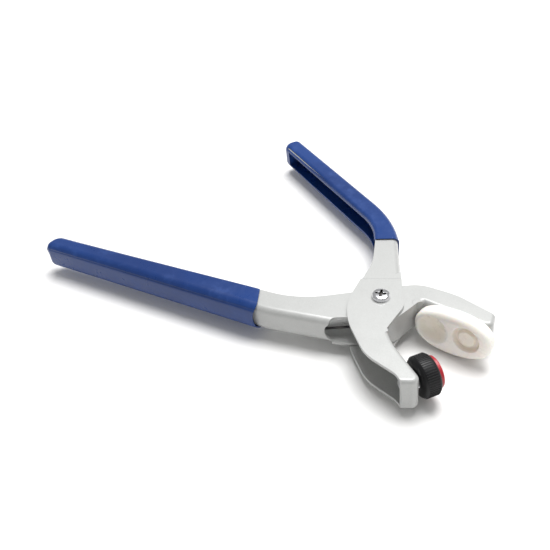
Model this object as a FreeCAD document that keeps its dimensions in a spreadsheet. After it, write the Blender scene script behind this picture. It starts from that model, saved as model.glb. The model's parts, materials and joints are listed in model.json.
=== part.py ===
import FreeCAD, Part
import math
import os
import Sketcher
from FreeCAD import Placement, Rotation, Vector

# Snap setter pliers, lying flat: +Z is the pivot axis, +X points to the jaws, and z = 0 is the
# underside of the pivot nut. Each lever is drawn closed, in its own frame, with the pivot at
# (0, 0), the jaw along +X and the press direction along Y. The levers are placed half the
# opening angle each way, which is how the return spring holds them.

doc = FreeCAD.newDocument("SnapSetterPliers")
sheet = doc.addObject("Spreadsheet::Sheet", "Sizes")

dimensions = {
    # levers
    "midHeight": 11.85,       # height of the levers' middle plane above the nut's underside
    "openingAngle": 28.5,     # between the press faces at rest
    "sheetThick": 1.3,
    "dieLeverHeight": 12.6,   # over the two cheeks
    "cheekGap": 0.25,         # slip washer space between the cheeks of the two levers
    "handleFold": 3.0,
    "jawFold": 1.8,
    "dieJawY": 9.4,           # die side of the die jaw's web
    "knobJawY": 9.5,          # knob side of the knob jaw's web
    "joggleRun": 2.6,
    # vinyl grips
    "coatThick": 0.8,
    "coatFold": 3.6,          # over the folds of the steel
    "coatLip": 2.2,           # over its free edges
    "coatEnd": 6.8,           # vinyl past the steel at the handle's end
    "dripLength": 5.0,
    # pivot
    "pivotBore": 5.2,
    "screwShank": 5.0,
    "screwHead": 7.8,
    "screwHeadHeight": 2.3,
    "nutAcross": 8.0,
    "pivotNutHeight": 4.0,
    "bushOuter": 8.2,
    "bushInner": 5.15,
    "slipWasherOuter": 12.0,
    "slipWasherThick": 0.25,
    # return spring
    "springWire": 1.2,
    "springRadius": 6.6,      # to the middle of the wire
    "springPitch": 1.35,
    # stud and knob
    "knobX": 42.0,
    "studSize": 4.0,
    "studBore": 4.2,
    "studLength": 11.6,
    "insertBore": 4.1,
    "jamNutAcross": 8.0,
    "jamNutHeight": 1.7,
    "backNutAcross": 7.0,
    "backNutHeight": 2.4,
    "backWasherOuter": 9.0,
    "backWasherThick": 0.6,
    "knobOuter": 17.4,
    "knobHeight": 7.2,
    "knobChamfer": 0.8,
    "knobGap": 0.3,           # knob to jam nut
    "padOuter": 13.6,
    "padHeight": 3.6,
    "padProud": 1.8,
    "insertOuter": 6.4,
    "insertHeight": 4.6,
    # die
    "dieX": 32.1,
    "dieLift": -0.4,          # die screw from the middle plane
    "dieTurn": 5.0,           # how far the die stands turned on its screw
    "dieHalfLength": 17.4,
    "dieHalfWidth": 10.7,
    "dieHeight": 6.8,
    "dieCorner": 1.7,
    "dieScrewSize": 3.0,
    "dieScrewBore": 3.2,
    "dieScrewHead": 5.6,
    "dieScrewHeadHeight": 1.8,
    "dieScrewLength": 6.7,    # under the head
    "dieWasherOuter": 12.0,
    "dieWasherThick": 1.1,
    "lockWasherOuter": 5.8,
    "lockWasherThick": 0.8,
    "dieInsertOuter": 5.4,
    "dieInsertBore": 3.1,
    "dieInsertHeight": 3.8,
    "innerWellX": -8.2,       # from the die screw along the die
    "outerWellX": 7.2,
    "wellsUp": 1.1,           # and across it
    "innerWellOuter": 15.0,
    "outerWellOuter": 12.6,
    "wellDepth": 2.2,
    "bossOuter": 8.6,
    "bossHeight": 1.2,
}
for row, (alias, value) in enumerate(dimensions.items(), start=1):
    sheet.set("A%d" % row, alias)
    sheet.set("B%d" % row, str(value))
    sheet.setAlias("B%d" % row, alias)
doc.recompute()


def size(alias):
    return float(sheet.get(alias))


thick = size("sheetThick")
dieHeightOver = size("dieLeverHeight")
knobHeightOver = dieHeightOver + 2 * size("cheekGap") + 2 * thick
halfOpen = size("openingAngle") / 2
dieJawY = size("dieJawY")
knobJawY = size("knobJawY")

# Corners of the lever outlines as (x, y, corner radius). Web edges run from the handle's end to
# the jaw's tip on the folded side, free edges run back along the open side.
dieWebEdge = [
    (-165.0, -55.12, 0.0),
    (-37.5, -32.6, 60.0),
    (-6.0, -22.2, 25.0),
    (11.2, -10.5, 9.0),
    (13.9, 7.0, 0.0),
    (15.8, dieJawY, 0.0),
    (46.9, dieJawY, 3.0),
]
dieFreeEdge = [
    (44.4, 17.0, 0.0),
    (25.0, 20.0, 30.0),
    (8.0, 18.2, 16.0),
    (-31.0, -19.3, 45.0),
    (-165.0, -45.91, 0.0),
]
knobWebEdge = [
    (-153.5, 29.31, 0.0),
    (-50.5, 35.8, 75.0),
    (9.8, 5.6, 8.0),
    (18.4, -7.2, 0.0),
    (26.0, -knobJawY, 40.0),
    (51.4, -knobJawY, 3.0),
]
knobFreeEdge = [
    (47.3, -16.9, 0.0),
    (42.5, -16.9, 8.0),
    (27.5, -22.3, 22.0),
    (-0.7, -18.5, 36.0),
    (-26.0, 9.8, 30.0),
    (-52.4, 26.0, 38.0),
    (-153.5, 19.71, 0.0),
]


def turn(a, b, c):
    """Signed turn at b on the way from a to c."""
    one = math.atan2(b[1] - a[1], b[0] - a[0])
    two = math.atan2(c[1] - b[1], c[0] - b[0])
    return math.atan2(math.sin(two - one), math.cos(two - one))


def offsetChain(corners, distance):
    """An open chain moved to its left by distance, with its corner radii kept concentric."""
    moved = []
    last = len(corners) - 1
    for i, (x, y, radius) in enumerate(corners):
        before = corners[max(i - 1, 0)]
        after = corners[min(i + 1, last)]
        normals = []
        for a, b in ((before, corners[i]), (corners[i], after)):
            length = math.hypot(b[0] - a[0], b[1] - a[1])
            if length > 0:
                normals.append(((a[1] - b[1]) / length, (b[0] - a[0]) / length))
        nx = sum(n[0] for n in normals) / len(normals)
        ny = sum(n[1] for n in normals) / len(normals)
        scale = distance / (nx * nx + ny * ny)
        newRadius = radius
        if 0 < i < last and radius > 0:
            bend = math.copysign(1.0, turn(before, corners[i], after))
            newRadius = max(radius - distance * bend, 0.2)
        moved.append((x + nx * scale, y + ny * scale, newRadius))
    return moved


def roundedLoop(corners):
    """Lines and tangent arcs round a closed list of (x, y, radius)."""
    count = len(corners)
    starts, ends, arcs = [], [], []
    for i, (x, y, radius) in enumerate(corners):
        a = corners[i - 1]
        c = corners[(i + 1) % count]
        here = Vector(x, y, 0)
        back = (Vector(a[0], a[1], 0) - here).normalize()
        ahead = (Vector(c[0], c[1], 0) - here).normalize()
        half = back.getAngle(ahead) / 2
        if radius <= 0 or half > math.radians(89.9):
            starts.append(here)
            ends.append(here)
            arcs.append(None)
            continue
        reach = radius / math.tan(half)
        middle = (back + ahead).normalize()
        centre = here + middle * (radius / math.sin(half))
        starts.append(here + back * reach)
        ends.append(here + ahead * reach)
        arcs.append(Part.Arc(starts[-1], centre - middle * radius, ends[-1]))
    pieces = []
    for i in range(count):
        if arcs[i] is not None:
            pieces.append(arcs[i])
        nextStart = starts[(i + 1) % count]
        if ends[i].distanceToPoint(nextStart) > 1e-6:
            pieces.append(Part.LineSegment(ends[i], nextStart))
    return pieces


def originPlane(body, role):
    for feature in body.Origin.OriginFeatures:
        if feature.Role == role:
            return feature
    raise ValueError(role)


def newBody(label):
    body = doc.addObject("PartDesign::Body", label.title().replace("_", "") + "Body")
    body.Label = label
    return body


def newSketch(body, name, role="XY_Plane"):
    sketch = body.newObject("Sketcher::SketchObject", name)
    sketch.AttachmentSupport = [(originPlane(body, role), "")]
    sketch.MapMode = "FlatFace"
    return sketch


def outlineSketch(body, name, corners):
    sketch = newSketch(body, name)
    for piece in roundedLoop(corners):
        sketch.addGeometry(piece, False)
    return sketch


def circleSketch(body, name, aliases, x=0.0, y=0.0, role="XY_Plane"):
    """Concentric circles whose diameters are bound to the sheet."""
    sketch = newSketch(body, name, role)
    for alias in aliases:
        index = sketch.addGeometry(Part.Circle(Vector(x, y, 0), Vector(0, 0, 1), size(alias) / 2), False)
        constraint = sketch.addConstraint(Sketcher.Constraint("Diameter", index, size(alias)))
        sketch.setExpression("Constraints[%d]" % constraint, "Sizes." + alias)
    return sketch


def centredPad(body, sketch, name, height):
    pad = body.newObject("PartDesign::Pad", name)
    pad.Profile = sketch
    pad.Midplane = True
    if isinstance(height, str):
        pad.setExpression("Length", height)
    else:
        pad.Length = height
    doc.recompute()
    return pad


def centredPocket(body, sketch, name, height):
    """A pocket both ways from its sketch; it has to take material away."""
    before = body.Shape.Volume
    pocket = body.newObject("PartDesign::Pocket", name)
    pocket.Profile = sketch
    pocket.Midplane = True
    if isinstance(height, str):
        pocket.setExpression("Length", height)
    else:
        pocket.Length = height
    doc.recompute()
    if body.Shape.Volume >= before - 1e-6:
        raise RuntimeError(name + " cuts nothing")
    return pocket


def insideCorners(web, free, side, wall):
    """A channel's inside: its web and tip plate moved in by a wall, and far out on the open side."""
    inner = offsetChain(web + [free[0]], side * wall)
    farY = side * 70.0
    x0, y0, _ = inner[0]
    x1, y1, _ = inner[1]
    startX = x0 - 8.0
    startY = y0 + (y1 - y0) / (x1 - x0) * (startX - x0)
    tip, top = inner[-2], inner[-1]
    topX = top[0] + (top[0] - tip[0]) * 1.5
    topY = top[1] + (top[1] - tip[1]) * 1.5
    return [(startX, startY, 0.0)] + inner[1:-1] + [(topX, topY, 0.0), (topX, farY, 0.0),
                                                    (startX, farY, 0.0)]


def shoulder(body, label, step):
    """Take a body down on both faces past the joggle, where the handle runs at its lower height."""
    if step is None:
        return
    start, high, low = step
    along = Vector(-0.876, 0.482, 0)
    sketch = newSketch(body, label + "_joggle_sketch")
    upright = Rotation(along, Vector(0, 0, 1), Vector(0, 0, 0), "XYZ")
    sketch.AttachmentOffset = Placement(Vector(0, 0, 0), upright)
    run = size("joggleRun")
    for up in (1, -1):
        corners = [(start, up * high), (start + run, up * low), (start + 260, up * low),
                   (start + 260, up * (high + 5)), (start, up * (high + 5))]
        for i, (s, z) in enumerate(corners):
            ns, nz = corners[(i + 1) % len(corners)]
            sketch.addGeometry(Part.LineSegment(Vector(s, z, 0), Vector(ns, nz, 0)), False)
    centredPocket(body, sketch, label + "_joggle", 260.0)


def plate(label, corners, height, step=None):
    body = newBody(label)
    outline = outlineSketch(body, label + "_outline", corners)
    centredPad(body, outline, label + "_pad", height)
    shoulder(body, label, step)
    return body


def cut(label, base, tool):
    result = doc.addObject("Part::Cut", label)
    result.Base = base
    result.Tool = tool
    doc.recompute()
    return result


def fuse(label, base, tool):
    result = doc.addObject("Part::Fuse", label)
    result.Base = base
    result.Tool = tool
    doc.recompute()
    return result


def rounded(label, base, radii):
    """A base with edges rounded: edge number to its radius at each end."""
    result = doc.addObject("Part::Fillet", label)
    result.Base = base
    result.Edges = [(i, first, last) for i, (first, last) in radii.items()]
    doc.recompute()
    return result


def placeOn(item, angle, x=0.0, y=0.0, z=0.0, tilt=0.0):
    """Put an object at (x, y) of a lever's closed frame and z above the middle plane."""
    turnedBy = Rotation(Vector(0, 0, 1), angle)
    base = turnedBy.multVec(Vector(x, y, 0)) + Vector(0, 0, size("midHeight") + z)
    item.Placement = Placement(base, turnedBy.multiply(Rotation(Vector(1, 0, 0), tilt)))
    return item


nodes = []


def keep(item, label=None):
    if label:
        item.Label = label
    nodes.append(item)
    return item


def foldEdges(shape, chain, sharpFrom, sharpTo):
    """Level edges on the web's outline, without the stretch of web between two X positions."""
    closing = [(chain[-1][0] + 300, chain[-1][1] + 900, 0), (chain[0][0] - 300, chain[0][1] + 900, 0)]
    outline = Part.Compound([piece.toShape() for piece in roundedLoop(chain + closing)])
    edges = []
    for i, edge in enumerate(shape.Edges, start=1):
        middle = edge.valueAt((edge.FirstParameter + edge.LastParameter) / 2)
        level = edge.BoundBox.ZLength < 0.001 and abs(middle.z) > 1
        flat = Part.Vertex(Vector(middle.x, middle.y, 0))
        start = Part.Vertex(Vector(edge.Vertexes[0].X, edge.Vertexes[0].Y, 0))
        onOutline = outline.distToShape(flat)[0] < 0.01 and outline.distToShape(start)[0] < 0.01
        if level and onOutline and not sharpFrom < middle.x < sharpTo:
            edges.append(i)
    return edges


def foldedBlank(label, web, free, height, strip, step, relief=None):
    """The lever's outer block: its outline, opened at the pivot, with its fold edges rounded."""
    body = plate(label, web + free, height, step)
    window = outlineSketch(body, label + "_strip", strip)
    if relief:
        window.addGeometry(Part.Circle(Vector(relief[0], relief[1], 0), Vector(0, 0, 1), relief[2]), False)
    centredPocket(body, window, label + "_opening", height + 2)
    radii = {}
    for i in foldEdges(body.Shape, web + [free[0]], -5.0, 14.0):
        fold = size("handleFold" if body.Shape.Edges[i - 1].CenterOfMass.x < 0 else "jawFold")
        radii[i] = (fold, fold)
    return rounded(label + "_folded", body, radii)


def steelLever(label, web, free, side, height, strip, zone, step=None, insideStep=None, relief=None):
    """A channel pressed from sheet: blank less its inside, and flat cheeks round the pivot."""
    blank = foldedBlank(label + "_blank", web, free, height, strip, step, relief)
    inside = plate(label + "_inside", insideCorners(web, free, side, thick), height - 2 * thick, insideStep)
    channel = cut(label + "_channel", blank, inside)
    cheekBlock = plate(label + "_cheek_block", zone, height, step)
    between = plate(label + "_between", [(-60, -60, 0), (60, -60, 0), (60, 60, 0), (-60, 60, 0)],
                    height - 2 * thick, insideStep)
    cheeks = cut(label + "_cheeks", cheekBlock, between)
    pressed = fuse(label + "_pressed", channel, cheeks)
    bore = doc.addObject("Part::Cylinder", label + "_bore")
    bore.setExpression("Radius", "Sizes.pivotBore / 2")
    bore.Height = 40
    bore.Placement.Base.z = -20
    return cut(label + "_bored", pressed, bore)


def pierced(label, lever, alias, x, z=0.0):
    """The lever with a round hole across its jaw's web."""
    hole = doc.addObject("Part::Cylinder", label + "_hole")
    hole.setExpression("Radius", "Sizes.%s / 2" % alias)
    hole.Height = 40
    hole.Placement = Placement(Vector(x, 20, z), Rotation(Vector(1, 0, 0), 90))
    return cut(label + "_pierced", lever, hole)


def ring(label, outer, inner, height):
    """A washer or bush standing on its own base plane."""
    body = newBody(label)
    sketch = circleSketch(body, label + "_sketch", [outer, inner])
    pad = body.newObject("PartDesign::Pad", label + "_pad")
    pad.Profile = sketch
    pad.setExpression("Length", height)
    doc.recompute()
    return body


def hexNut(label, across, bore, height):
    """A hexagon nut with its bore, standing on its own base plane."""
    prism = doc.addObject("Part::Prism", label.title().replace("_", "") + "Hexagon")
    prism.Polygon = 6
    prism.setExpression("Circumradius", "Sizes.%s / sqrt(3)" % across)
    prism.setExpression("Height", "Sizes." + height)
    hole = doc.addObject("Part::Cylinder", label.title().replace("_", "") + "Bore")
    hole.setExpression("Radius", "Sizes.%s / 2" % bore)
    hole.setExpression("Height", "Sizes." + height)
    nut = doc.addObject("Part::Cut", label.title().replace("_", ""))
    nut.Base = prism
    nut.Tool = hole
    nut.Label = label
    return nut


def turned(label, profile):
    """A body turned from a half profile of (radius, height) points about its own Z axis."""
    body = newBody(label)
    sketch = newSketch(body, label + "_profile", "XZ_Plane")
    for i, (r, z) in enumerate(profile):
        nr, nz = profile[(i + 1) % len(profile)]
        sketch.addGeometry(Part.LineSegment(Vector(r, z, 0), Vector(nr, nz, 0)), False)
    revolution = body.newObject("PartDesign::Revolution", label + "_turning")
    revolution.Profile = sketch
    revolution.ReferenceAxis = (sketch, ["V_Axis"])
    revolution.Angle = 360
    doc.recompute()
    return body


# The two levers. The die lever's cheeks run inside the knob lever's.
dieStrip = [(-7.6, -32.0, 0.0), (7.5, -32.0, 0.0), (7.5, -9.2, 0.0), (-7.6, -18.3, 0.0)]
dieZone = [(-9.8, -23.45, 0.0), (-6.0, -22.2, 25.0), (8.5, -12.34, 0.0), (7.0, -8.0, 0.0), (-9.8, -16.4, 0.0)]
dieSteel = steelLever("dieLever", dieWebEdge, dieFreeEdge, 1, dieHeightOver, dieStrip, dieZone,
                      relief=(13.9, 7.0, 2.3))
# The window's end is round, and it runs up over the fold into the upper cheek.
windowEnd = doc.addObject("Part::Cylinder", "WindowEnd")
windowEnd.setExpression("Radius", "Sizes.dieLeverHeight / 2 - Sizes.sheetThick")
windowEnd.Height = 16
windowEnd.Placement = Placement(Vector(-5.2, -31.5, 0), Rotation(Vector(0, 0, 1), Vector(-0.314, 0.949, 0)))
dieSteel = cut("dieLever_windowed", dieSteel, windowEnd)
notch = newBody("dieLever_notch")
notchPad = notch.newObject("PartDesign::Pad", "dieLever_notch_pad")
notchPad.Profile = outlineSketch(notch, "dieLever_notch_outline", [
    (-11.2, -29.0, 0.0), (-10.9, -20.9, 4.0), (-4.4, -16.2, 8.0), (2.5, -11.2, 6.0), (9.0, -11.2, 0.0),
    (9.0, -29.0, 0.0)])
notchPad.Length = 10
doc.recompute()
dieSteel = cut("dieLever_notched", dieSteel, notch)
dieSteel = pierced("dieLever", dieSteel, "dieScrewBore", size("dieX"), size("dieLift"))
dieLever = keep(placeOn(dieSteel, halfOpen), "die_lever")

knobStrip = [(-12.0, 24.0, 0.0), (24.0, 10.0, 0.0), (19.8, -4.0, 0.0), (19.8, -10.8, 0.0),
             (15.5, -9.0, 0.0), (8.0, 2.3, 0.0), (-12.0, 12.4, 0.0)]
knobZone = [(-13.0, 17.02, 0.0), (9.8, 5.6, 8.0), (18.4, -7.2, 0.0), (20.4, -7.81, 0.0),
            (20.4, -12.5, 0.0), (8.0, -5.0, 0.0), (-13.0, 9.0, 0.0)]
joggleStart = 12.6
outerStep = (joggleStart, knobHeightOver / 2, dieHeightOver / 2)
innerStep = (joggleStart, knobHeightOver / 2 - thick, dieHeightOver / 2 - thick)
knobSteel = steelLever("knobLever", knobWebEdge, knobFreeEdge, -1, knobHeightOver, knobStrip, knobZone,
                       outerStep, innerStep)
knobSteel = pierced("knobLever", knobSteel, "studBore", size("knobX"))
knobLever = keep(placeOn(knobSteel, -halfOpen), "knob_lever")


def beyond(a, b, distance):
    """The point past b on the line from a to b."""
    length = math.hypot(b[0] - a[0], b[1] - a[1])
    return (b[0] + (b[0] - a[0]) * distance / length, b[1] + (b[1] - a[1]) * distance / length)


def dippedGrip(label, web, free, side, boundary, drip, steel, angle):
    """The vinyl skin on a handle: a block round the steel less the channel's inside and the steel."""
    coat = size("coatThick")
    outer = offsetChain(web + free, -side * coat)
    webEnd = beyond(outer[1], outer[0], size("coatEnd")) + (3.6,)
    freeEnd = beyond(outer[-2], outer[-1], size("coatEnd")) + (5.6,)
    block = plate(label + "_block", [webEnd] + outer[1:-1] + [freeEnd], dieHeightOver + 2 * coat)
    (x0, y0), (x1, y1) = boundary
    over = 6.0
    near = (x0 + (x0 - x1) * over, y0 + (y0 - y1) * over, 0.0)
    far = (x1 + (x1 - x0) * over, y1 + (y1 - y0) * over, 0.0)
    rest = [near, far, (80.0, far[1], 0.0), (80.0, near[1], 0.0)]
    centredPocket(block, outlineSketch(block, label + "_edge", rest), label + "_rest", dieHeightOver + 6)
    line = Part.LineSegment(Vector(near[0], near[1], 0), Vector(far[0], far[1], 0)).toShape()
    lip = Part.Compound([piece.toShape() for piece in roundedLoop([freeEnd] + outer[-2:len(web) - 1:-1])])
    fold, edgeRadius = size("coatFold"), size("coatLip")
    soft = {}
    for i, edge in enumerate(block.Shape.Edges, start=1):
        middle = edge.valueAt((edge.FirstParameter + edge.LastParameter) / 2)
        flat = Part.Vertex(Vector(middle.x, middle.y, 0))
        if edge.BoundBox.ZLength < 0.001 and line.distToShape(flat)[0] > 0.01:
            radii = []
            for vertex in (edge.valueAt(edge.FirstParameter), edge.valueAt(edge.LastParameter)):
                spot = Part.Vertex(Vector(vertex.x, vertex.y, 0))
                radii.append(edgeRadius if lip.distToShape(spot)[0] < 0.01 else fold)
            soft[i] = tuple(radii)
    softBlock = rounded(label + "_soft", block, soft)
    channel = insideCorners(web, free, side, thick + coat)
    channel[0] = (channel[0][0] + 10.0, channel[0][1] + (channel[1][1] - channel[0][1])
                  * 10.0 / (channel[1][0] - channel[0][0]), 2.0)
    channel[-1] = (channel[0][0], channel[-1][1], 0.0)
    hollow = plate(label + "_hollow", channel, dieHeightOver - 2 * thick - 2 * coat)
    skin = cut(label + "_skin", softBlock, hollow)
    whole = skin
    if drip:
        nub = doc.addObject("Part::Cone", label + "_drip")
        nub.Radius1 = 3.0
        nub.Radius2 = 1.1
        nub.setExpression("Height", "Sizes.dripLength")
        nub.Placement = Placement(Vector(drip[0], drip[1], 0), Rotation(Vector(0, 1, 0), -90))
        whole = fuse(label + "_dipped", skin, nub)
    placeOn(whole, angle)
    return keep(cut(label + "_grip", whole, steel), label)


# Vinyl dipped over both handles, with a drip at the end of the die lever's.
dippedGrip("die_lever_grip", dieWebEdge, dieFreeEdge, 1, [(-49.9, -22.3), (-41.9, -34.1)],
           (-170.6, -52.6), dieLever, halfOpen)
dippedGrip("knob_lever_grip", knobWebEdge, knobFreeEdge, -1, [(-41.3, 18.4), (-35.9, 28.5)],
           None, knobLever, -halfOpen)


def crossScrew(label, shank, length, head, headHeight, crossTurn):
    """A pan head screw with its tip on the base plane and a cross recess in the head."""
    r = size(shank) / 2
    hr = size(head) / 2
    top = length + size(headHeight)
    body = turned(label, [(0, 0), (r - 0.4, 0), (r, 0.4), (r, length), (hr, length), (hr, top - 1.0),
                          (hr - 0.35, top - 0.45), (hr * 0.6, top), (0, top)])
    recess = newSketch(body, label + "_cross", "XY_Plane")
    recess.AttachmentOffset = Placement(Vector(0, 0, top), Rotation(Vector(0, 0, 1), crossTurn))
    arm, half = hr * 0.62, hr * 0.13
    corners = [(arm, -half), (arm, half), (half, half), (half, arm), (-half, arm), (-half, half),
               (-arm, half), (-arm, -half), (-half, -half), (-half, -arm), (half, -arm), (half, -half)]
    for i, (x, y) in enumerate(corners):
        nx, ny = corners[(i + 1) % len(corners)]
        recess.addGeometry(Part.LineSegment(Vector(x, y, 0), Vector(nx, ny, 0)), False)
    centredPocket(body, recess, label + "_recess", 2.6)
    return body


# The pivot: screw down through both pairs of cheeks, bush and slip washers between, nut below.
topOfKnobLever = size("midHeight") + knobHeightOver / 2
pivotScrew = keep(crossScrew("pivot_screw", "screwShank", topOfKnobLever, "screwHead", "screwHeadHeight", 38))
pivotScrew.Placement = Placement(Vector(0, 0, 0), Rotation())
pivotNut = keep(hexNut("pivot_nut", "nutAcross", "screwShank", "pivotNutHeight"))
pivotNut.Placement = Placement(Vector(0, 0, 0), Rotation(Vector(0, 0, 1), 12))
lowerCheek = size("midHeight") - dieHeightOver / 2
bush = keep(ring("pivot_bush", "bushOuter", "bushInner", "Sizes.dieLeverHeight - 2 * Sizes.sheetThick"))
bush.Placement.Base.z = lowerCheek + thick
for label, z in (("lower_pivot_washer", lowerCheek - size("slipWasherThick")),
                 ("upper_pivot_washer", lowerCheek + dieHeightOver)):
    washer = keep(ring(label, "slipWasherOuter", "pivotBore", "Sizes.slipWasherThick"))
    washer.Placement.Base.z = z

# Return spring: a coil round the bush with one leg along the inside of each handle's web.
wire = size("springWire")
coil = size("springRadius")
pitch = size("springPitch")
dieLegEnd = Rotation(Vector(0, 0, 1), halfOpen).multVec(Vector(-24.0, -25.9, 0))
knobLegEnd = Rotation(Vector(0, 0, 1), -halfOpen).multVec(Vector(-25.5, 20.9, 0))


def tangentPoint(end, sense):
    """Where the straight leg from a far end meets the coil's circle."""
    away = math.atan2(end.y, end.x)
    swing = math.acos(coil / math.hypot(end.x, end.y))
    return away + sense * swing


startAngle = tangentPoint(dieLegEnd, 1)
endAngle = tangentPoint(knobLegEnd, -1)
turns = 3 + (endAngle - startAngle) % (2 * math.pi) / (2 * math.pi)
coilEdge = Part.makeHelix(pitch, turns * pitch, coil).Edges[0]
lowEnd = coilEdge.valueAt(coilEdge.FirstParameter)
lowWay = coilEdge.tangentAt(coilEdge.FirstParameter)
highEnd = coilEdge.valueAt(coilEdge.LastParameter)
highWay = coilEdge.tangentAt(coilEdge.LastParameter)
section = Part.Wire([Part.Circle(lowEnd, lowWay, wire / 2).toShape()])
coilBody = Part.Wire([coilEdge]).makePipeShell([section], True, True)
dieLeg = Part.makeCylinder(wire / 2, math.sqrt(dieLegEnd.Length ** 2 - coil ** 2), lowEnd, lowWay * -1)
knobLeg = Part.makeCylinder(wire / 2, math.sqrt(knobLegEnd.Length ** 2 - coil ** 2), highEnd, highWay)
spring = doc.addObject("Part::Feature", "ReturnSpring")
spring.Shape = coilBody.fuse([dieLeg, knobLeg])
spring.Placement = FreeCAD.Placement(Vector(0, 0, size("midHeight") - turns * pitch / 2),
                                     Rotation(Vector(0, 0, 1), math.degrees(startAngle)))
keep(spring, "return_spring")


# The stud through the knob lever's jaw, and the knob that screws along it.
studX = size("knobX")
webBack = -knobJawY - thick
stud = newBody("stud")
studPad = stud.newObject("PartDesign::Pad", "stud_pad")
studPad.Profile = circleSketch(stud, "stud_sketch", ["studSize"])
studPad.setExpression("Length", "Sizes.studLength")
backNutBase = webBack - size("backWasherThick") - size("backNutHeight")
placeOn(keep(stud), -halfOpen, studX, backNutBase - 1.0, 0, -90)
backWasher = keep(ring("stud_back_washer", "backWasherOuter", "studBore", "Sizes.backWasherThick"))
placeOn(backWasher, -halfOpen, studX, webBack - size("backWasherThick"), 0, -90)
backNut = keep(hexNut("stud_back_nut", "backNutAcross", "studSize", "backNutHeight"))
placeOn(backNut, -halfOpen, studX, backNutBase, 0, -90)
jamNut = keep(hexNut("stud_jam_nut", "jamNutAcross", "studSize", "jamNutHeight"))
placeOn(jamNut, -halfOpen, studX, -knobJawY, 0, -90)

knobBase = -knobJawY + size("jamNutHeight") + size("knobGap")
knobFront = size("knobHeight")
padSeat = knobFront - size("padHeight") + size("padProud")
knobR = size("knobOuter") / 2
padR = size("padOuter") / 2
insertR = size("insertOuter") / 2
bevel = size("knobChamfer")
insertTop = size("insertHeight")
knob = keep(turned("knob", [(insertR, 0), (knobR - bevel, 0), (knobR, bevel), (knobR, knobFront - bevel),
                            (knobR - bevel, knobFront), (padR, knobFront), (padR, padSeat), (0, padSeat),
                            (0, insertTop), (insertR, insertTop)]))
placeOn(knob, -halfOpen, studX, knobBase, 0, -90)
insert = keep(ring("knob_insert", "insertOuter", "insertBore", "Sizes.insertHeight"))
placeOn(insert, -halfOpen, studX, knobBase, 0, -90)
padHeight = size("padHeight")
padProfile = [(0, 0), (padR, 0), (padR, padHeight - 0.6), (padR - 0.18, padHeight - 0.18),
              (padR - 0.6, padHeight), (0, padHeight)]
pressPad = keep(turned("press_pad", padProfile))
placeOn(pressPad, -halfOpen, studX, knobBase + padSeat, 0, -90)

# The die: a rounded moulding that swivels on a screw through the die lever's jaw. Its own Z axis
# points from the web to the press face, and its X axis runs along the jaw.
halfLength = size("dieHalfLength")
halfWidth = size("dieHalfWidth")
dieOutline = []
for sx, sy in ((1, 1), (-1, 1), (-1, -1), (1, -1)):
    corner = (sx * (halfLength - 2.6), sy * (halfWidth - 1.9), 8.0)
    side = (sx * (halfLength + 0.8), 0.0, 10.0)
    ridge = (0.0, sy * (halfWidth + 0.55), 50.0)
    dieOutline += [side, corner] if sx * sy > 0 else [ridge, corner]
dieBody = newBody("die_shape")
diePad = dieBody.newObject("PartDesign::Pad", "die_pad")
diePad.Profile = outlineSketch(dieBody, "die_outline", dieOutline)
diePad.setExpression("Length", "Sizes.dieHeight")
doc.recompute()
rims = {}
for i, edge in enumerate(dieBody.Shape.Edges, start=1):
    if edge.BoundBox.ZLength < 0.001:
        rims[i] = (size("dieCorner"), size("dieCorner"))
dieSoft = rounded("die_soft", dieBody, rims)
dieHeight = size("dieHeight")
wellDepth = size("wellDepth")
innerR = size("innerWellOuter") / 2
dishR = (innerR * innerR + wellDepth * wellDepth) / (2 * wellDepth)
dish = doc.addObject("Part::Sphere", "InnerWell")
dish.Radius = dishR
dish.Placement.Base = Vector(size("innerWellX"), size("wellsUp"), dieHeight - wellDepth + dishR)
outerWell = doc.addObject("Part::Cone", "OuterWell")
outerWell.setExpression("Radius1", "Sizes.outerWellOuter / 2 - 0.8")
outerWell.setExpression("Radius2", "Sizes.outerWellOuter / 2")
outerWell.Height = wellDepth
boss = doc.addObject("Part::Cone", "WellBoss")
boss.setExpression("Radius1", "Sizes.bossOuter / 2")
boss.setExpression("Radius2", "Sizes.bossOuter / 2 - 0.4")
boss.setExpression("Height", "Sizes.bossHeight")
for item in (outerWell, boss):
    item.Placement.Base = Vector(size("outerWellX"), size("wellsUp"), dieHeight - wellDepth)
ringWell = cut("die_ring_well", outerWell, boss)
socket = doc.addObject("Part::Cylinder", "DieSocket")
socket.setExpression("Radius", "Sizes.dieInsertOuter / 2")
socket.setExpression("Height", "Sizes.dieInsertHeight")
dieBlock = cut("DieBlock", cut("die_socketed", cut("die_dished", dieSoft, dish), ringWell), socket)

dieX = size("dieX")
dieLift = size("dieLift")
dieBack = dieJawY - size("dieWasherThick")


def placeOnDieJaw(item, y, spin=0.0, flip=False):
    """Put an object on the die screw's axis, its Z axis towards the press face unless flipped."""
    placeOn(item, halfOpen, dieX, y, dieLift, 90 if not flip else -90)
    item.Placement = item.Placement * Placement(Vector(0, 0, 0), Rotation(Vector(0, 0, 1), spin))


placeOnDieJaw(keep(dieBlock, "die_block"), dieBack, size("dieTurn"))
placeOnDieJaw(keep(ring("die_insert", "dieInsertOuter", "dieInsertBore", "Sizes.dieInsertHeight")), dieBack)
slipWasher = ring("die_slip_washer", "dieWasherOuter", "dieScrewBore", "Sizes.dieWasherThick")
placeOnDieJaw(keep(slipWasher), dieJawY)
lockWasher = keep(ring("die_lock_washer", "lockWasherOuter", "dieScrewBore", "Sizes.lockWasherThick"))
lockSeat = dieJawY + thick + size("lockWasherThick")
placeOnDieJaw(lockWasher, lockSeat)
screwLength = size("dieScrewLength")
dieScrew = crossScrew("die_screw", "dieScrewSize", screwLength, "dieScrewHead", "dieScrewHeadHeight", 20)
keep(dieScrew)
placeOnDieJaw(dieScrew, lockSeat - screwLength, 0.0, True)

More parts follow.
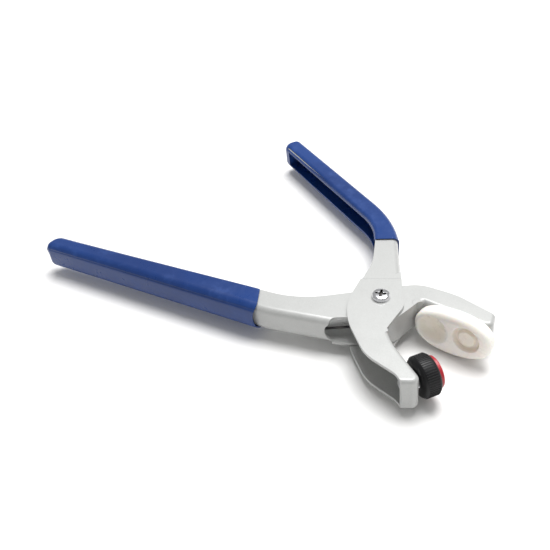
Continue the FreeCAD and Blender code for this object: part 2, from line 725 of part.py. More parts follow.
doc.recompute()
for item in doc.Objects:
    if "Invalid" in item.State or "Error" in item.State:
        raise RuntimeError("%s is %s" % (item.Name, item.State))

os.makedirs("parts", exist_ok=True)
for item in nodes:
    if item.Shape.isNull() or not item.Shape.isValid():
        raise RuntimeError(item.Label + " has no valid shape")
    item.Shape.exportStep("parts/%s.step" % item.Label)
    print(item.Label, round(item.Shape.Volume, 1), len(item.Shape.Solids))
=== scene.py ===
import json
import math
import bmesh
import bpy
from mathutils import Matrix, Quaternion, Vector


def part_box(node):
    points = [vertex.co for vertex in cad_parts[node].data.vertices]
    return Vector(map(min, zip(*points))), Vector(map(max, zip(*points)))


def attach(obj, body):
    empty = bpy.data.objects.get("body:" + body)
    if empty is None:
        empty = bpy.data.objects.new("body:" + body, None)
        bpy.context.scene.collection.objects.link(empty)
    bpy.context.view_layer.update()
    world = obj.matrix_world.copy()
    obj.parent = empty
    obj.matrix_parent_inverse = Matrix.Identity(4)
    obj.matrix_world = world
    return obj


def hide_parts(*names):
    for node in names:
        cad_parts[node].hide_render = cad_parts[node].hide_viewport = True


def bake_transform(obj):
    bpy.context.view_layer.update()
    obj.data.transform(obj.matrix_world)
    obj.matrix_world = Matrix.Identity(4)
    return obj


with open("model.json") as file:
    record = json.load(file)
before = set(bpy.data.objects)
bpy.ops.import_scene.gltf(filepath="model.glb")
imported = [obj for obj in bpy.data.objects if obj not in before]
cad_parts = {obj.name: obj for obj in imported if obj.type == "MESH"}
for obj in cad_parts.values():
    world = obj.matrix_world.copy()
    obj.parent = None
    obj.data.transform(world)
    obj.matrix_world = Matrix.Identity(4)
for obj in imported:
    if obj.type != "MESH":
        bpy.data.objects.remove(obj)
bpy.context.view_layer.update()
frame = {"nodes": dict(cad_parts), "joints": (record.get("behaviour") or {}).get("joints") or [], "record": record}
nodes = frame["nodes"]
joints = {joint["name"]: joint for joint in frame["joints"]}
mm = 0.001
print("frame loaded:", len(nodes), "nodes")


class Value:
    def __init__(self, bench, socket):
        self.bench = bench
        self.socket = socket

    def maths(self, operation, first, second):
        return self.bench.add("ShaderNodeMath", {"operation": operation}, {0: first, 1: second})

    def __add__(self, other):
        return self.maths("ADD", self, other)

    def __radd__(self, other):
        return self.maths("ADD", other, self)

    def __mul__(self, other):
        return self.maths("MULTIPLY", self, other)

    def __rmul__(self, other):
        return self.maths("MULTIPLY", other, self)


class Bench:
    def __init__(self, name):
        self.material = bpy.data.materials.new(name)
        self.material.use_nodes = True
        self.tree = self.material.node_tree
        self.tree.nodes.clear()

    def add(self, kind, settings=None, sockets=None, out=0):
        node = self.tree.nodes.new(kind)
        for key, setting in (settings or {}).items():
            setattr(node, key, setting)
        for key, given in (sockets or {}).items():
            socket = node.inputs[key]
            if isinstance(given, Value):
                self.tree.links.new(given.socket, socket)
            elif isinstance(given, tuple) and socket.type == "RGBA" and len(given) == 3:
                socket.default_value = (*given, 1)
            else:
                socket.default_value = given
        return Value(self, node.outputs[out]) if node.outputs else None

    def place(self):
        return self.add("ShaderNodeTexCoord", out=3)

    def noise(self, scale, detail=3.0, rough=0.5, stretch=None):
        at = self.place()
        if stretch:
            at = self.add("ShaderNodeMapping", {}, {"Vector": at, "Scale": stretch})
        return self.add("ShaderNodeTexNoise", {}, {"Vector": at, "Scale": scale, "Detail": detail,
                                                  "Roughness": rough})

    def cells(self, scale, out):
        return self.add("ShaderNodeTexVoronoi", {}, {"Vector": self.place(), "Scale": scale}, out)

    def band(self, value, low, high, start=0.0, end=1.0):
        return self.add("ShaderNodeMapRange", {"interpolation_type": "SMOOTHSTEP"},
                        {0: value, 1: low, 2: high, 3: start, 4: end})

    def mix(self, amount, one, two):
        return self.add("ShaderNodeMix", {"data_type": "RGBA"}, {0: amount, 6: one, 7: two}, 2)

    def bump(self, height, strength, depth, under=None):
        given = {"Height": height, "Strength": strength, "Distance": depth}
        if under:
            given["Normal"] = under
        return self.add("ShaderNodeBump", {}, given)

    def attribute(self, name):
        return self.add("ShaderNodeAttribute", {"attribute_name": name}, {}, 2)

    def finish(self, sockets):
        shader = self.add("ShaderNodeBsdfPrincipled", {}, sockets)
        self.add("ShaderNodeOutputMaterial", {}, {"Surface": shader})
        return self.material


leverPaint = {"colour": (0.435, 0.44, 0.43), "dull": (0.38, 0.385, 0.375), "bare": (0.26, 0.26, 0.25),
              "rough": 0.36, "flake": 5200.0, "peel": 900.0}


def paintedSheet():
    b = Bench("light_grey_paint")
    p = leverPaint
    cloud = b.noise(42.0, 4.0, 0.6)
    flake = b.cells(p["flake"], 1)          # metallic speckle in the paint
    speck = b.add("ShaderNodeSeparateColor", {}, {0: flake})
    peel = b.noise(p["peel"], 2.0, 0.5)
    scratch = b.noise(60.0, 5.0, 0.65, stretch=(1.0, 14.0, 3.0))
    scuff = b.band(scratch, 0.66, 0.78)
    edge = b.attribute("edgeWearAndHighlight")
    chips = b.band(b.noise(420.0, 5.0, 0.7), 0.50, 0.62) * edge
    colour = b.mix(b.band(cloud, 0.35, 0.75), p["colour"], p["dull"])
    colour = b.mix(speck * 0.10, colour, (0.95, 0.96, 0.97))
    # painted highlight: the eased edge faces are lightened; the chips below are real wear
    colour = b.mix(edge * 0.35, colour, (0.58, 0.59, 0.585))
    colour = b.mix(chips * 0.55, colour, p["bare"])
    rough = b.band(cloud, 0.2, 0.8, p["rough"] - 0.05, p["rough"] + 0.08) + scuff * 0.12
    normal = b.bump(peel, 0.22, 0.00006)
    normal = b.bump(scratch, 0.06, 0.00008, normal)
    return b.finish({"Base Color": colour, "Roughness": rough, "Metallic": 0.12, "Normal": normal,
                     "Coat Weight": 0.25, "Coat Roughness": 0.22, "Specular IOR Level": 0.5})


gripVinyl = {"colour": (0.008, 0.042, 0.190), "deep": (0.005, 0.028, 0.135), "rough": 0.31}


def dippedVinyl():
    b = Bench("blue_dipped_vinyl")
    p = gripVinyl
    flow = b.noise(26.0, 3.0, 0.5, stretch=(0.5, 1.0, 1.6))
    fine = b.noise(700.0, 3.0, 0.6)
    handled = b.noise(90.0, 6.0, 0.7)
    colour = b.mix(b.band(flow, 0.3, 0.7), p["colour"], p["deep"])
    colour = b.mix(b.band(handled, 0.50, 0.80) * 0.30, colour, (0.045, 0.115, 0.38))
    rough = b.band(handled, 0.3, 0.8, p["rough"] - 0.06, p["rough"] + 0.14)
    normal = b.bump(flow, 0.30, 0.0006)
    normal = b.bump(fine, 0.14, 0.00006, normal)
    return b.finish({"Base Color": colour, "Roughness": rough, "Normal": normal, "Coat Weight": 0.12,
                     "Coat Roughness": 0.12, "Specular IOR Level": 0.32})


def brightPlate():
    b = Bench("bright_plated_steel")
    rings = b.noise(900.0, 4.0, 0.6)
    smear = b.noise(120.0, 4.0, 0.6)
    edge = b.attribute("edgeWearAndHighlight")
    colour = b.mix(b.band(smear, 0.4, 0.8), (0.80, 0.80, 0.82), (0.62, 0.62, 0.65))
    # painted highlight: the eased edge faces are brightened to a glint
    colour = b.mix(edge * 0.3, colour, (0.92, 0.92, 0.93))
    # painted shade: faces down in the screw heads' cross are darkened almost to black
    recessShade = b.attribute("painted_recess_shade")
    colour = b.mix(recessShade * 0.93, colour, (0.020, 0.014, 0.012))
    rough = b.band(smear, 0.3, 0.8, 0.12, 0.28) + recessShade * 0.3
    return b.finish({"Base Color": colour, "Roughness": rough, "Metallic": 1.0,
                     "Normal": b.bump(rings, 0.08, 0.00004)})


def dullPlate():
    b = Bench("dull_zinc_plate")
    grain = b.noise(1500.0, 4.0, 0.7)
    cloud = b.noise(180.0, 4.0, 0.6)
    colour = b.mix(b.band(cloud, 0.3, 0.75), (0.56, 0.57, 0.58), (0.40, 0.40, 0.41))
    rough = b.band(grain, 0.3, 0.7, 0.28, 0.46)
    return b.finish({"Base Color": colour, "Roughness": rough, "Metallic": 1.0,
                     "Normal": b.bump(grain, 0.12, 0.00004)})


def oiledWire():
    b = Bench("dark_spring_wire")
    grain = b.noise(1800.0, 3.0, 0.6, stretch=(1.0, 1.0, 0.3))
    cloud = b.noise(240.0, 3.0, 0.6)
    colour = b.mix(b.band(cloud, 0.35, 0.7), (0.060, 0.060, 0.064), (0.13, 0.125, 0.12))
    rough = b.band(cloud, 0.3, 0.8, 0.26, 0.42)
    return b.finish({"Base Color": colour, "Roughness": rough, "Metallic": 0.9,
                     "Normal": b.bump(grain, 0.15, 0.00003)})


def mouldedBlack():
    b = Bench("black_moulded_plastic")
    grain = b.noise(2600.0, 3.0, 0.6)
    scuff = b.noise(260.0, 5.0, 0.7)
    dusty = b.band(scuff, 0.52, 0.80)
    colour = b.mix(dusty * 0.5, (0.005, 0.005, 0.006), (0.035, 0.035, 0.035))
    rough = b.band(scuff, 0.3, 0.8, 0.38, 0.56)
    return b.finish({"Base Color": colour, "Roughness": rough, "Normal": b.bump(grain, 0.30, 0.00006),
                     "Specular IOR Level": 0.30})


def turnedBrass():
    b = Bench("turned_brass")
    grain = b.noise(1400.0, 3.0, 0.6)
    cloud = b.noise(300.0, 3.0, 0.6)
    colour = b.mix(b.band(cloud, 0.3, 0.75), (0.70, 0.50, 0.21), (0.50, 0.34, 0.14))
    return b.finish({"Base Color": colour, "Roughness": b.band(cloud, 0.3, 0.8, 0.22, 0.38),
                     "Metallic": 1.0, "Normal": b.bump(grain, 0.12, 0.00004)})


def redRubber():
    b = Bench("red_pad_rubber")
    grain = b.noise(1900.0, 3.0, 0.6)
    cloud = b.noise(260.0, 4.0, 0.6)
    colour = b.mix(b.band(cloud, 0.3, 0.75), (0.46, 0.018, 0.030), (0.34, 0.012, 0.022))
    rough = b.band(cloud, 0.3, 0.8, 0.30, 0.46)
    return b.finish({"Base Color": colour, "Roughness": rough, "Normal": b.bump(grain, 0.20, 0.00005),
                     "Specular IOR Level": 0.5})


def naturalNylon():
    b = Bench("natural_nylon")
    grain = b.noise(1500.0, 3.0, 0.55)
    cloud = b.noise(140.0, 4.0, 0.6)
    well = b.attribute("well")                  # 0 on the outside, 1 down in the wells: the mask for the painted shade there
    colour = b.mix(b.band(cloud, 0.3, 0.75), (0.90, 0.885, 0.84), (0.85, 0.825, 0.76))
    # painted shade: the wells are tinted darker and warmer
    colour = b.mix(well * 0.60, colour, (0.84, 0.77, 0.62))
    rough = b.band(cloud, 0.3, 0.8, 0.24, 0.38)
    return b.finish({"Base Color": colour, "Roughness": rough, "Normal": b.bump(grain, 0.10, 0.00004),
                     "Subsurface Weight": 0.35, "Subsurface Radius": (1.0, 0.72, 0.42),
                     "Subsurface Scale": 0.0025, "Specular IOR Level": 0.5, "Coat Weight": 0.1})


finishes = {
    "lever_paint": paintedSheet(),
    "grip_vinyl": dippedVinyl(),
    "chrome_fasteners": brightPlate(),
    "plain_steel": dullPlate(),
    "spring_steel": oiledWire(),
    "knob_plastic": mouldedBlack(),
    "brass_inserts": turnedBrass(),
    "pad_rubber": redRubber(),
    "die_nylon": naturalNylon(),
}
slotOf = {part["node"]: part["material_slot"] for part in frame["record"]["subparts"]}
bodyOf = {name: body for body, names in frame["record"]["behaviour"]["bodies"].items() for name in names}
for name, node in nodes.items():
    node.data.materials.clear()
    node.data.materials.append(finishes[slotOf[name]])
print("finishes made:", len(finishes))


def settle(piece, slotName, bodyName, *standsFor):
    piece.data.materials.clear()
    piece.data.materials.append(finishes[slotName])
    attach(piece, bodyName)
    if standsFor:
        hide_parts(*standsFor)
    return piece


def newPiece(name, bm):
    mesh = bpy.data.meshes.new(name)
    bmesh.ops.recalc_face_normals(bm, faces=bm.faces)
    bm.to_mesh(mesh)
    bm.free()
    piece = bpy.data.objects.new(name, mesh)
    bpy.context.scene.collection.objects.link(piece)
    for face in mesh.polygons:
        face.use_smooth = True
    return piece


tucked = {"die_lever": 0.5, "knob_lever": 0.5}  # mm that the steel's far end draws into its vinyl
tuckLength = 12.0


def tuckEnd(bm, node):
    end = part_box(node)[0][0] + tuckLength * mm
    far = [vert for vert in bm.verts if vert.co.x < end]
    low, high = min(v.co.z for v in far), max(v.co.z for v in far)
    middle, half = (low + high) / 2, (high - low) / 2
    for vert in far:
        vert.co.z = middle + (vert.co.z - middle) * (1 - tucked[node] * mm / half)


crossHeads = {            # node: (the way its head faces, how far its cross reaches from the middle in mm)
    "pivot_screw": (Vector((0, 0, 1)), 2.6),
    "die_screw": (-Vector(joints["die_swivel"]["axis"]).normalized(), 1.9),
}
crossDepth = {"crown": 0.1, "from": 0.12, "to": 2.2}      # mm below the top of the head


def markRecess(bm, node):
    # faces below the crown and inside the cross are marked, and the finish paints shade on them
    axis, reach = crossHeads[node]
    dark = bm.faces.layers.float.new("painted_recess_shade")
    top = max(v.co.dot(axis) for v in bm.verts)
    crown = [v.co for v in bm.verts if v.co.dot(axis) > top - crossDepth["crown"] * mm]
    middle = sum(crown, Vector()) / len(crown)
    for face in bm.faces:
        away = face.calc_center_median() - middle
        down = -away.dot(axis)
        out = (away + axis * down).length
        if crossDepth["from"] * mm < down < crossDepth["to"] * mm and out < reach * mm:
            face[dark] = 1.0


mouth = {"slices": 12, "sag": 2.6, "band": 0.7}           # mm: how far the dip line sags back on the web


def curveMouth(bm, node, line):
    # level slices give the web points to move along the dip line
    low, high = [corner[2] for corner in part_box(node)]
    one, two = (Vector((*corner, 0)) * mm for corner in line)
    back = (two - one).cross(Vector((0, 0, 1))).normalized()
    if back.x > 0:
        back = -back
    for i in range(1, mouth["slices"]):
        bmesh.ops.bisect_plane(bm, geom=list(bm.verts) + list(bm.edges) + list(bm.faces), dist=1e-7,
                               plane_co=(0, 0, low + (high - low) * i / mouth["slices"]), plane_no=(0, 0, 1))
    for vert in bm.verts:
        if abs((vert.co - one).dot(back)) < mouth["band"] * mm:
            rise = 2 * (vert.co.z - low) / (high - low) - 1
            vert.co += back * mouth["sag"] * mm * (1 - rise * rise)


edges = {"merge": 2e-6, "flat": 0.4, "sharp": 30.0, "shadeSharp": 38.0}     # metres, then degrees


def eased(node, width, segments, line=None):
    # a merged copy of a CAD node with its sharp edges broken, and the new edge faces marked for wear and a painted
    # edge highlight
    bm = bmesh.new()
    bm.from_mesh(nodes[node].data)
    bmesh.ops.remove_doubles(bm, verts=bm.verts, dist=edges["merge"])
    bmesh.ops.dissolve_limit(bm, angle_limit=math.radians(edges["flat"]), verts=bm.verts, edges=bm.edges)
    wearAndHighlight = bm.faces.layers.float.new("edgeWearAndHighlight")
    bend = math.radians(edges["sharp"])
    sharp = [edge for edge in bm.edges if len(edge.link_faces) == 2 and edge.calc_face_angle() > bend]
    made = bmesh.ops.bevel(bm, geom=sharp, offset=width * mm, segments=segments, profile=0.5,
                           affect="EDGES", clamp_overlap=True)
    for face in made["faces"]:
        face[wearAndHighlight] = 1.0
    if line:
        curveMouth(bm, node, line)
    if node in crossHeads:
        markRecess(bm, node)
    if node in tucked:
        tuckEnd(bm, node)
    piece = newPiece(node + "_shown", bm)
    piece.data.set_sharp_from_angle(angle=math.radians(edges["shadeSharp"]))
    weighted = piece.modifiers.new("evenNormals", "WEIGHTED_NORMAL")
    weighted.keep_sharp = True
    return settle(piece, slotOf[node], bodyOf[node], node)


turnOpen = math.radians(14.25)                  # each lever's turn from closed


def turned(x, y, angle):
    return (x * math.cos(angle) - y * math.sin(angle), x * math.sin(angle) + y * math.cos(angle))


easedNodes = {            # node: (edge width in mm, segments)
    "die_lever": (0.32, 3),
    "knob_lever": (0.32, 3),
    "pivot_screw": (0.12, 2),
    "pivot_nut": (0.22, 2),
    "stud_jam_nut": (0.22, 2),
    "stud_back_nut": (0.20, 2),
    "stud": (0.15, 2),
    "die_screw": (0.10, 2),
    "press_pad": (0.20, 3),
}
gripEdge = (0.45, 3)
gripMouths = {            # the dip line's two ends on the handle, in mm
    "die_lever_grip": [turned(-49.9, -22.3, turnOpen), turned(-41.9, -34.1, turnOpen)],
    "knob_lever_grip": [turned(-41.3, 18.4, -turnOpen), turned(-35.9, 28.5, -turnOpen)],
}
for node, (width, segments) in easedNodes.items():
    eased(node, width, segments)
for node, line in gripMouths.items():
    eased(node, *gripEdge, line)
print("edges eased on", len(easedNodes) + len(gripMouths), "nodes")


fold = {                  # where the die lever's web turns into its jaw, on the closed lever in mm
    "corner": (13.9, 7.0), "reach": 2.24, "sheet": 1.3,
    "from": 51.6, "to": 261.2,                  # degrees
    "steps": 24,
}


def prism(bm, outline, low, high):
    lower = [bm.verts.new((x * mm, y * mm, low)) for x, y in outline]
    upper = [bm.verts.new((x * mm, y * mm, high)) for x, y in outline]
    bm.faces.new(list(reversed(lower)))
    bm.faces.new(upper)
    for i in range(len(outline)):
        j = (i + 1) % len(outline)
        bm.faces.new((lower[i], lower[j], upper[j], upper[i]))


def cornerFold():
    f = fold
    low, high = [corner[2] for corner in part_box("die_lever")]
    cx, cy = f["corner"]
    fan = [(cx, cy)]
    for i in range(f["steps"] + 1):
        a = math.radians(f["from"] + (f["to"] - f["from"]) * i / f["steps"])
        fan.append((cx + f["reach"] * math.cos(a), cy + f["reach"] * math.sin(a)))
    middle = math.radians((f["from"] + f["to"]) / 2)
    inset = f["sheet"] / math.sin(math.radians(f["to"] - f["from"]) / 2)
    inner = (cx + inset * math.cos(middle), cy + inset * math.sin(middle))
    sides = []
    for angle, sense in ((f["from"], 1), (f["to"], -1)):
        along, across = math.radians(angle), math.radians(angle + 90 * sense)
        tip = (cx + f["reach"] * math.cos(along), cy + f["reach"] * math.sin(along))
        sides.append([tip, (tip[0] + f["sheet"] * math.cos(across), tip[1] + f["sheet"] * math.sin(across))])
    wall = [(cx, cy), sides[0][0], sides[0][1], inner, sides[1][1], sides[1][0]]
    bm = bmesh.new()
    sheet = f["sheet"] * mm
    prism(bm, [turned(x, y, turnOpen) for x, y in fan], low, low + sheet)
    prism(bm, [turned(x, y, turnOpen) for x, y in fan], high - sheet, high)
    prism(bm, [turned(x, y, turnOpen) for x, y in wall], low + sheet, high - sheet)
    return newPiece("die_lever_fold_corner", bm)


corner = cornerFold()
for face in corner.data.polygons:
    face.use_smooth = False
settle(corner, "lever_paint", "die_lever")
print("corner folded")


# a soft-edged bar with a dished well and a ring well in its press face
die = {
    "halfLength": 17.4, "halfWidth": 10.7, "height": 6.8,
    "power": 2.3,             # 2 is an ellipse, higher is squarer
    "backRim": 1.7,           # edge rounding towards the jaw
    "faceRim": 3.4, "faceDrop": 2.6,
    "turn": 5.0,              # degrees on its screw
    "wellsUp": 1.1,           # both wells sit above the middle
    "innerAt": -8.2, "innerRadius": 7.5, "innerDepth": 2.2, "innerCurve": 1.15,
    "outerAt": 7.2, "outerRadius": 6.3, "outerDepth": 1.8, "outerSlope": 1.3,
    "bossRadius": 4.0, "bossHeight": 1.0, "bossIn": 0.8, "bossOut": 0.5,
    "around": 220, "rimSteps": 10, "faceRings": 90,
}


def smooth(x, low, high):
    t = min(max((x - low) / (high - low), 0.0), 1.0)
    return t * t * (3 - 2 * t)


def wellDepth(u, v):
    d = die
    v = v - d["wellsUp"]
    r = math.hypot(u - d["innerAt"], v) / d["innerRadius"]
    dish = d["innerDepth"] * max(1 - r * r, 0.0) ** d["innerCurve"]
    s = math.hypot(u - d["outerAt"], v)
    ringDown = d["outerDepth"] * (1 - smooth(s, d["outerRadius"] - d["outerSlope"], d["outerRadius"]))
    boss = 1 - smooth(s, d["bossRadius"] - d["bossIn"], d["bossRadius"] + d["bossOut"])
    ringDown -= d["bossHeight"] * boss
    return max(dish, ringDown)


def dieMesh():
    d = die
    pivot = Vector(joints["die_swivel"]["pos_m"])
    w = Vector(joints["die_swivel"]["axis"]).normalized()     # from the jaw's web to the press face
    u = Vector((0, 0, 1)).cross(w).normalized()
    if u.x < 0:
        u = -u
    rise = math.radians(d["turn"])
    u = max((Quaternion(w, angle) @ u for angle in (rise, -rise)), key=lambda way: way.z)
    v = w.cross(u)
    outline = []
    blunt = 2 / d["power"]
    for i in range(d["around"]):
        a = 2 * math.pi * i / d["around"]
        c, s = math.cos(a), math.sin(a)
        outline.append((math.copysign(abs(c) ** blunt, c) * d["halfLength"],
                        math.copysign(abs(s) ** blunt, s) * d["halfWidth"]))
    # (inset from the outline, height) up the back rim, over the face rim and in to the middle
    quarter = [math.pi / 2 * i / d["rimSteps"] for i in range(d["rimSteps"] + 1)]
    steps = [(d["backRim"] * (1 - math.sin(a)), d["backRim"] * (1 - math.cos(a))) for a in quarter]
    steps += [(d["faceRim"] * (1 - math.cos(a)), d["height"] - d["faceDrop"] * (1 - math.sin(a)))
              for a in quarter]
    bm = bmesh.new()
    deep = bm.verts.layers.float.new("well")

    def point(x, y, z):
        floor = d["height"] - wellDepth(x, y)
        vert = bm.verts.new(pivot + (u * x + v * y + w * min(z, floor)) * mm)
        # how far a point sits down in a well; the nylon finish paints shade there from this
        vert[deep] = min(max(z - floor, 0.0), 1.0)
        return vert

    rings = []
    for inset, z in steps:
        kx = 1 - inset / d["halfLength"]
        ky = 1 - inset / d["halfWidth"]
        rings.append([point(x * kx, y * ky, z) for x, y in outline])
    kx = 1 - d["faceRim"] / d["halfLength"]
    ky = 1 - d["faceRim"] / d["halfWidth"]
    for i in range(1, d["faceRings"]):
        k = 1 - i / d["faceRings"]
        rings.append([point(x * kx * k, y * ky * k, d["height"]) for x, y in outline])
    tip = point(0, 0, d["height"])
    for lower, upper in zip(rings, rings[1:]):
        for i in range(len(lower)):
            j = (i + 1) % len(lower)
            bm.faces.new((lower[i], lower[j], upper[j], upper[i]))
    last = rings[-1]
    for i in range(len(last)):
        bm.faces.new((last[i], last[(i + 1) % len(last)], tip))
    bm.faces.new(list(reversed(rings[0])))
    return newPiece("die_block_shown", bm)


settle(dieMesh(), "die_nylon", "die", "die_block")
print("die moulded")


# turned body with fine ribs round its rim
knob = {
    "radius": 8.7, "height": 7.2, "bevel": 1.1,
    "padRadius": 6.85, "seat": 5.4, "bore": 3.2, "eye": 0.2, "around": 112,
    "ribs": 56, "ribWidth": 0.42, "ribHigh": 0.16, "ribLength": 5.0,
}
knobAxis = Vector(joints["knob_turn"]["axis"]).normalized()
knobBase = Vector(joints["knob_turn"]["pos_m"])


def turnedPiece(name, profile, base, axis, around):
    # (radius, height) points in mm turned about an axis
    side = axis.cross(Vector((0, 0, 1))).normalized()
    other = axis.cross(side)
    bm = bmesh.new()
    rings = []
    for radius, height in profile:
        ring = []
        for i in range(around):
            a = 2 * math.pi * i / around
            out = side * math.cos(a) + other * math.sin(a)
            ring.append(bm.verts.new(base + (axis * height + out * radius) * mm))
        rings.append(ring)
    for lower, upper in zip(rings, rings[1:]):
        for i in range(around):
            j = (i + 1) % around
            bm.faces.new((lower[i], lower[j], upper[j], upper[i]))
    bm.faces.new(list(reversed(rings[0])))
    bm.faces.new(rings[-1])
    piece = newPiece(name, bm)
    piece.data.set_sharp_from_angle(angle=math.radians(40))
    return piece


def knobBody():
    k = knob
    r, h, bv = k["radius"] - k["ribHigh"], k["height"], k["bevel"]
    corner = [(bv + 0.2, 0.0), (bv * 0.5, bv * 0.28), (0.12, bv * 0.85), (0.0, bv * 1.15)]
    profile = [(k["bore"], 0.0)]
    profile += [(r - inset, rise) for inset, rise in corner]
    profile += [(r - inset, h - rise) for inset, rise in reversed(corner)]
    profile += [(k["padRadius"], h), (k["padRadius"], k["seat"]), (k["eye"], k["seat"])]
    return turnedPiece("knob_shown", profile, knobBase, knobAxis, k["around"])


def ribTree():
    tree = bpy.data.node_groups.new("rimRibs", "GeometryNodeTree")
    face = tree.interface
    face.new_socket("Geometry", in_out="INPUT", socket_type="NodeSocketGeometry")
    face.new_socket("Count", in_out="INPUT", socket_type="NodeSocketInt")
    for label in ("Radius", "Width", "High", "Length"):
        face.new_socket(label, in_out="INPUT", socket_type="NodeSocketFloat")
    face.new_socket("Material", in_out="INPUT", socket_type="NodeSocketMaterial")
    face.new_socket("Geometry", in_out="OUTPUT", socket_type="NodeSocketGeometry")
    new, link = tree.nodes.new, tree.links.new
    given, result = new("NodeGroupInput"), new("NodeGroupOutput")
    circle = new("GeometryNodeMeshCircle")
    link(given.outputs["Count"], circle.inputs["Vertices"])
    link(given.outputs["Radius"], circle.inputs["Radius"])
    rib = new("GeometryNodeCurvePrimitiveLine")
    rib.mode = "DIRECTION"
    rib.inputs["Direction"].default_value = (0, 0, 1)
    link(given.outputs["Length"], rib.inputs["Length"])
    section = new("GeometryNodeCurvePrimitiveCircle")
    section.inputs["Resolution"].default_value = 8
    section.inputs["Radius"].default_value = 1.0
    widen = new("ShaderNodeCombineXYZ")
    link(given.outputs["Width"], widen.inputs[0])
    link(given.outputs["High"], widen.inputs[1])
    widen.inputs[2].default_value = 1.0
    squashed = new("GeometryNodeTransform")
    link(section.outputs["Curve"], squashed.inputs["Geometry"])
    link(widen.outputs[0], squashed.inputs["Scale"])
    sweep = new("GeometryNodeCurveToMesh")
    link(rib.outputs["Curve"], sweep.inputs["Curve"])
    link(squashed.outputs["Geometry"], sweep.inputs["Profile Curve"])
    sweep.inputs["Fill Caps"].default_value = True
    index = new("GeometryNodeInputIndex")
    step = new("ShaderNodeMath")
    step.operation = "DIVIDE"
    step.inputs[0].default_value = 2 * math.pi
    link(given.outputs["Count"], step.inputs[1])
    angle = new("ShaderNodeMath")
    angle.operation = "MULTIPLY"
    link(index.outputs[0], angle.inputs[0])
    link(step.outputs[0], angle.inputs[1])
    spin = new("ShaderNodeCombineXYZ")
    link(angle.outputs[0], spin.inputs[2])
    stand = new("GeometryNodeInstanceOnPoints")
    link(circle.outputs["Mesh"], stand.inputs["Points"])
    link(sweep.outputs["Mesh"], stand.inputs["Instance"])
    link(spin.outputs[0], stand.inputs["Rotation"])
    real = new("GeometryNodeRealizeInstances")
    link(stand.outputs["Instances"], real.inputs["Geometry"])
    paint = new("GeometryNodeSetMaterial")
    link(real.outputs["Geometry"], paint.inputs["Geometry"])
    link(given.outputs["Material"], paint.inputs["Material"])
    link(paint.outputs["Geometry"], result.inputs[0])
    return tree


def grownMesh(name, tree, values, place):
    # run a node tree once and keep its result as a plain mesh, moved to its place
    holder = bpy.data.objects.new(name + "_holder", bpy.data.meshes.new(name + "_holder"))
    bpy.context.scene.collection.objects.link(holder)
    grow = holder.modifiers.new("grow", "NODES")
    grow.node_group = tree
    sockets = {item.name: item.identifier for item in tree.interface.items_tree
               if item.in_out == "INPUT"}
    for label, value in values.items():
        grow[sockets[label]] = value
    bpy.context.view_layer.update()
    ready = holder.evaluated_get(bpy.context.evaluated_depsgraph_get())
    mesh = bpy.data.meshes.new_from_object(ready)
    bpy.data.objects.remove(holder)
    mesh.transform(place)
    mesh.name = name
    piece = bpy.data.objects.new(name, mesh)
    bpy.context.scene.collection.objects.link(piece)
    for polygon in mesh.polygons:
        polygon.use_smooth = True
    return piece


def alongAxis(base, axis):
    return Matrix.Translation(base) @ axis.to_track_quat("Z", "Y").to_matrix().to_4x4()


settle(knobBody(), "knob_plastic", "knob", "knob")
ribStart = (knob["height"] - knob["ribLength"]) / 2
ribs = grownMesh("knob_rim_ribs", ribTree(), {
    "Count": knob["ribs"],
    "Radius": (knob["radius"] - knob["ribHigh"]) * mm,
    "Width": knob["ribWidth"] / 2 * mm,
    "High": knob["ribHigh"] * mm,
    "Length": knob["ribLength"] * mm,
    "Material": finishes["knob_plastic"],
}, alongAxis(knobBase + knobAxis * ribStart * mm, knobAxis))
settle(ribs, "knob_plastic", "knob")
print("knob turned, ribs grown")


# coil round the bush, with a leg along the inside of each handle
spring = {
    "wire": 0.6, "coil": 6.6, "pitch": 1.35,            # two radii and the rise of a turn, in mm
    "middle": 11.85, "wholeTurns": 3,
    "dieLeg": (-16.886, -31.01), "knobLeg": (-19.57, 26.534),
    "sides": 12, "turnSteps": 36, "legSteps": 14,
}


def springMesh():
    s = spring

    def meets(end, sense):
        return math.atan2(end[1], end[0]) + sense * math.acos(s["coil"] / math.hypot(*end))

    fullTurn = 2 * math.pi
    first, second = meets(s["dieLeg"], 1), meets(s["knobLeg"], -1)
    sweep = (second - first) % fullTurn + s["wholeTurns"] * fullTurn
    turns = sweep / fullTurn
    low = s["middle"] - turns * s["pitch"] / 2
    high = s["middle"] + turns * s["pitch"] / 2
    coil = []
    count = int(turns * s["turnSteps"])
    for i in range(count + 1):
        a = first + sweep * i / count
        z = low + (high - low) * i / count
        coil.append(Vector((s["coil"] * math.cos(a), s["coil"] * math.sin(a), z)))
    slope = s["pitch"] / (fullTurn * s["coil"])
    start = Vector((*s["dieLeg"], low - slope * math.hypot(*s["dieLeg"])))
    end = Vector((*s["knobLeg"], high + slope * math.hypot(*s["knobLeg"])))
    legSteps = s["legSteps"]
    path = [start.lerp(coil[0], i / legSteps) for i in range(legSteps)]
    path += coil
    path += [coil[-1].lerp(end, i / legSteps) for i in range(1, legSteps + 1)]
    bm = bmesh.new()
    rings = []
    side = Vector((0, 0, 1))
    for i, here in enumerate(path):
        ahead = (path[min(i + 1, len(path) - 1)] - path[max(i - 1, 0)]).normalized()
        across = side.cross(ahead).normalized()
        up = ahead.cross(across)
        ring = []
        for j in range(s["sides"]):
            a = fullTurn * j / s["sides"]
            ring.append(bm.verts.new((here + (across * math.cos(a) + up * math.sin(a)) * s["wire"]) * mm))
        rings.append(ring)
    for one, two in zip(rings, rings[1:]):
        for j in range(s["sides"]):
            k = (j + 1) % s["sides"]
            bm.faces.new((one[j], one[k], two[k], two[j]))
    bm.faces.new(list(reversed(rings[0])))
    bm.faces.new(rings[-1])
    return newPiece("return_spring_shown", bm)


springPiece = springMesh()
springPiece.data.materials.append(finishes["spring_steel"])
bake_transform(springPiece)
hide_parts("return_spring")
print("spring wound")


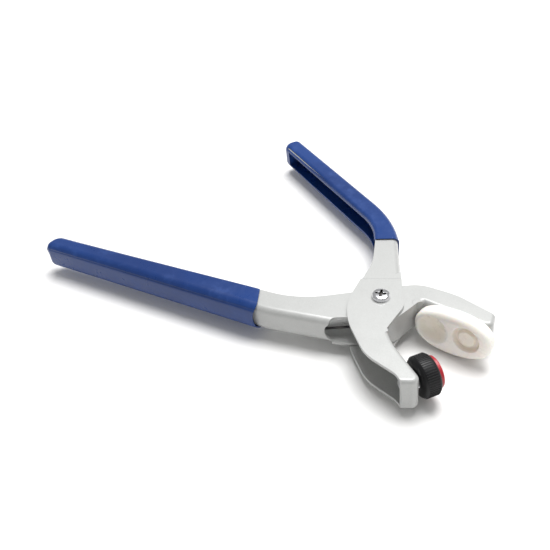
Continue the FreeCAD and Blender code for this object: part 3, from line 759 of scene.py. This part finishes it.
studio = {                # metres and watts
    "floor": (0.90, 0.895, 0.885), "floorSize": 14.0,
    "world": 0.40,
    "keyPower": 30.0, "keySize": 1.1, "keyAt": (-0.22, 0.40, 1.4),
    "fillPower": 0.5, "fillSize": 0.25, "fillAt": (0.30, 0.30, 0.55),
}
camera = {
    "direction": (-0.6827, 0.4143, -0.6018),
    "place": (0.1748, -0.1575, 0.2131),
    "roll": -7.5, "lens": 45.82, "sensor": 36.0,        # degrees, then mm
}


def paleFloor():
    half = studio["floorSize"] / 2
    bm = bmesh.new()
    corners = [bm.verts.new((x * half, y * half, 0.0)) for x, y in ((-1, -1), (1, -1), (1, 1), (-1, 1))]
    bm.faces.new(corners)
    piece = newPiece("floor", bm)
    b = Bench("pale_floor")
    cloud = b.noise(6.0, 3.0, 0.5)
    colour = b.mix(b.band(cloud, 0.3, 0.7) * 0.3, studio["floor"], (0.84, 0.84, 0.835))
    piece.data.materials.append(b.finish({"Base Color": colour, "Roughness": 0.7}))


def softLight(name, power, size, at, target=(0, 0, 0)):
    lamp = bpy.data.lights.new(name, "AREA")
    lamp.energy = power
    lamp.shape = "DISK"
    lamp.size = size
    holder = bpy.data.objects.new(name, lamp)
    holder.location = at
    holder.rotation_mode = "QUATERNION"
    holder.rotation_quaternion = (Vector(target) - Vector(at)).to_track_quat("-Z", "Y")
    bpy.context.scene.collection.objects.link(holder)


paleFloor()
softLight("key", studio["keyPower"], studio["keySize"], studio["keyAt"])
softLight("fill", studio["fillPower"], studio["fillSize"], studio["fillAt"])
world = bpy.data.worlds.new("studio")
world.use_nodes = True
world.node_tree.nodes["Background"].inputs[0].default_value = (1.0, 1.0, 1.0, 1)
world.node_tree.nodes["Background"].inputs[1].default_value = studio["world"]
bpy.context.scene.world = world
bpy.context.scene.view_settings.view_transform = "Standard"

forward = Vector(camera["direction"]).normalized()
right = forward.cross(Vector((0, 0, 1))).normalized()
up = right.cross(forward)
roll = math.radians(camera["roll"])
right, up = right * math.cos(roll) + up * math.sin(roll), up * math.cos(roll) - right * math.sin(roll)
lens = bpy.data.cameras.new("camera")
lens.lens = camera["lens"]
lens.sensor_width = camera["sensor"]
lens.clip_start = 0.01
eye = bpy.data.objects.new("camera", lens)
eye.matrix_world = Matrix.Translation(camera["place"]) @ Matrix((right, up, -forward)).transposed().to_4x4()
bpy.context.scene.collection.objects.link(eye)
bpy.context.scene.camera = eye
print("studio set")
